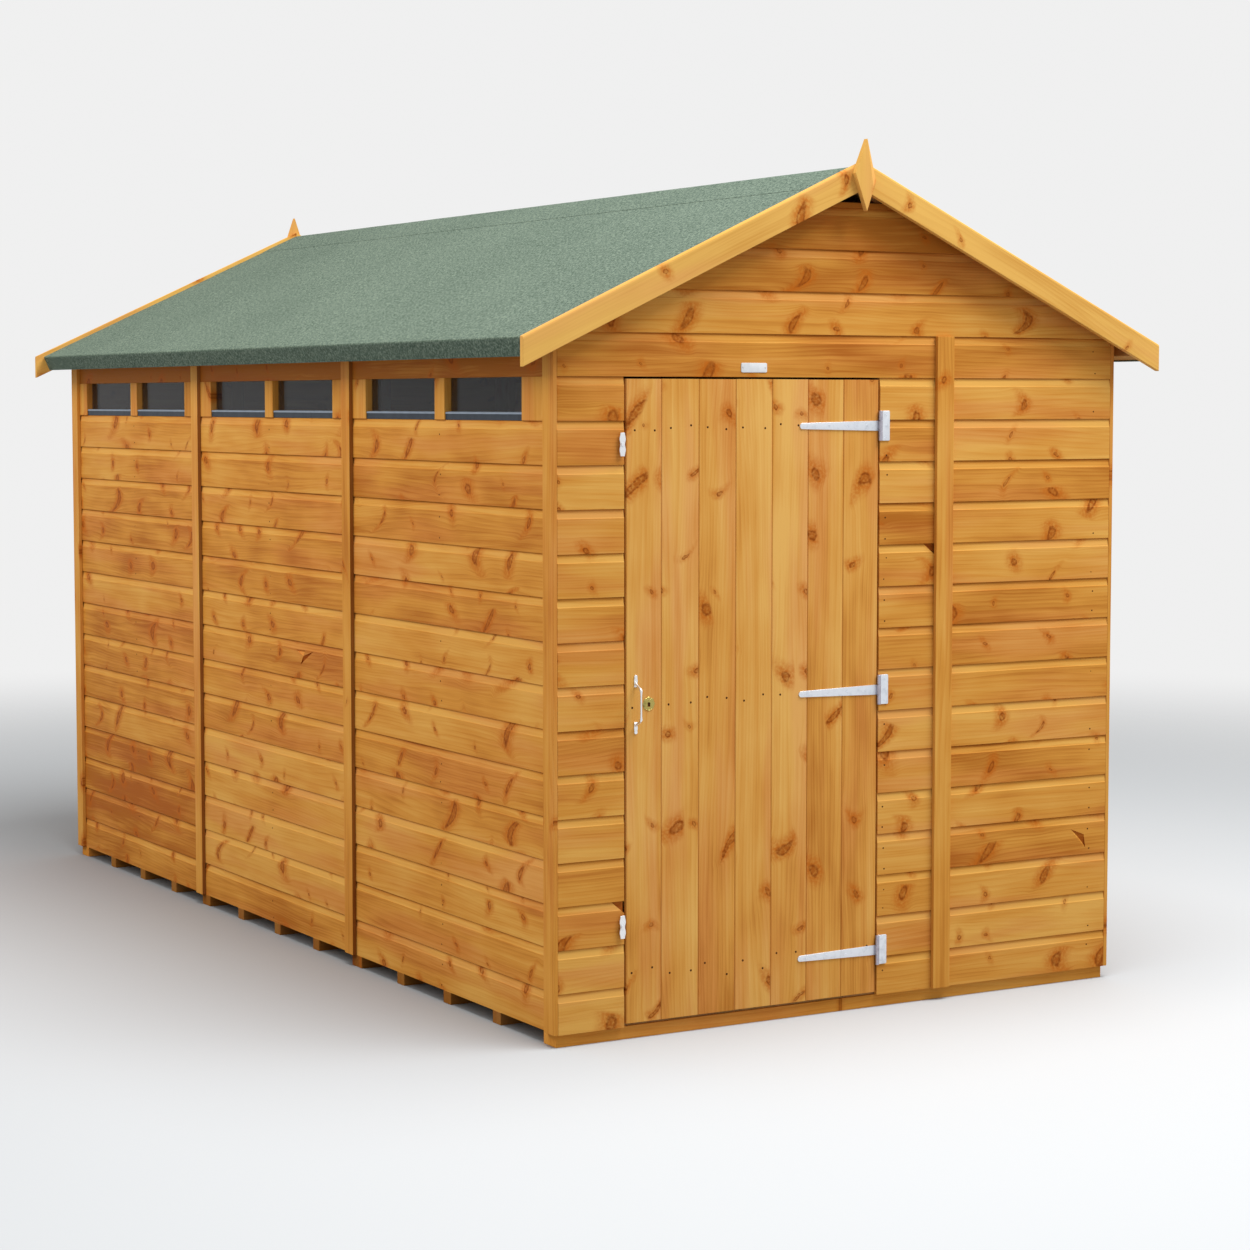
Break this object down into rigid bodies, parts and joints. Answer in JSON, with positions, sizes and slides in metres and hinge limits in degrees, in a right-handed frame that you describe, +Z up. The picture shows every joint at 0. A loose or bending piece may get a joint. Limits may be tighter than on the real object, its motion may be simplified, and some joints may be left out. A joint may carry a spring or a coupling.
{
  "type": "wooden garden shed",
  "caption": "Apex garden shed of honey-coloured shiplap panels with a ledged door on T-hinges, small high side windows and a green felt roof.",
  "frame": {"origin": "on the ground at the middle of the plan", "axes": "+Z up, the front gable with the door faces -Y, the window wall faces -X"},
  "size_m": [2.032, 3.756, 2.331],
  "materials": {
    "cladding_wood": "dip-treated honey softwood, satin",
    "strip_wood": "dip-treated honey softwood, satin",
    "door_wood": "dip-treated honey softwood, satin",
    "barge_wood": "pale yellow softwood, satin",
    "frame_wood": "sawn softwood, matt",
    "roof_wood": "sawn softwood, matt",
    "floor_wood": "planed softwood, matt",
    "joist_wood": "treated softwood, matt",
    "green_felt": "mineral roofing felt, rough",
    "window_glass": "clear, gloss",
    "glazing_bead": "pale bead, satin",
    "zinc_steel": "bright zinc plate, satin",
    "brass_trim": "aged brass, satin"
  },
  "bodies": {
    "shed": {"floor_joists": "joist_wood", "floor_boards": "floor_wood", "left_wall_rear": "cladding_wood", "left_wall_middle": "cladding_wood", "left_wall_front": "cladding_wood", "left_window_heads": "cladding_wood", "left_window_posts": "strip_wood", "window_panes": "window_glass", "window_beads": "glazing_bead", "right_wall_rear": "cladding_wood", "right_wall_middle": "cladding_wood", "right_wall_front": "cladding_wood", "front_latch_side": "cladding_wood", "front_hinge_side": "cladding_wood", "front_door_head": "cladding_wood", "front_narrow_panel": "cladding_wood", "front_gable": "cladding_wood", "back_wide_panel": "cladding_wood", "back_narrow_panel": "cladding_wood", "back_gable": "cladding_wood", "left_rails": "frame_wood", "left_studs": "frame_wood", "right_rails": "frame_wood", "right_studs": "frame_wood", "front_rails": "frame_wood", "front_studs": "frame_wood", "back_rails": "frame_wood", "back_studs": "frame_wood", "left_rafters": "frame_wood", "right_rafters": "frame_wood", "purlins": "frame_wood", "eaves_battens": "frame_wood", "left_roof_boards": "roof_wood", "right_roof_boards": "roof_wood", "left_felt": "green_felt", "right_felt": "green_felt", "ridge_felt": "green_felt", "left_barge_boards": "barge_wood", "right_barge_boards": "barge_wood", "finials": "barge_wood", "side_cover_strips": "strip_wood", "gable_cover_strips": "strip_wood", "hinge_plates": "zinc_steel", "button_screws": "zinc_steel"},
    "door": {"door_leaf": "door_wood", "door_ledges": "door_wood", "hinge_straps": "zinc_steel", "door_handle": "zinc_steel", "keyhole_plate": "brass_trim"},
    "upper_button": {"upper_turn_button": "zinc_steel"},
    "lower_button": {"lower_turn_button": "zinc_steel"}
  },
  "joints": [
    {"name": "door_swing", "type": "hinge", "parent": "shed", "child": "door", "pos_m": [0.0955, -1.81, 0.869], "axis": [0, 0, 1], "range_deg": [0, 170]},
    {"name": "upper_button_turn", "type": "hinge", "parent": "shed", "child": "upper_button", "pos_m": [-0.7035, -1.804, 1.535], "axis": [0, -1, 0], "range_deg": [0, 90]},
    {"name": "lower_button_turn", "type": "hinge", "parent": "shed", "child": "lower_button", "pos_m": [-0.7035, -1.804, 0.297], "axis": [0, -1, 0], "range_deg": [0, 90]}
  ]
}
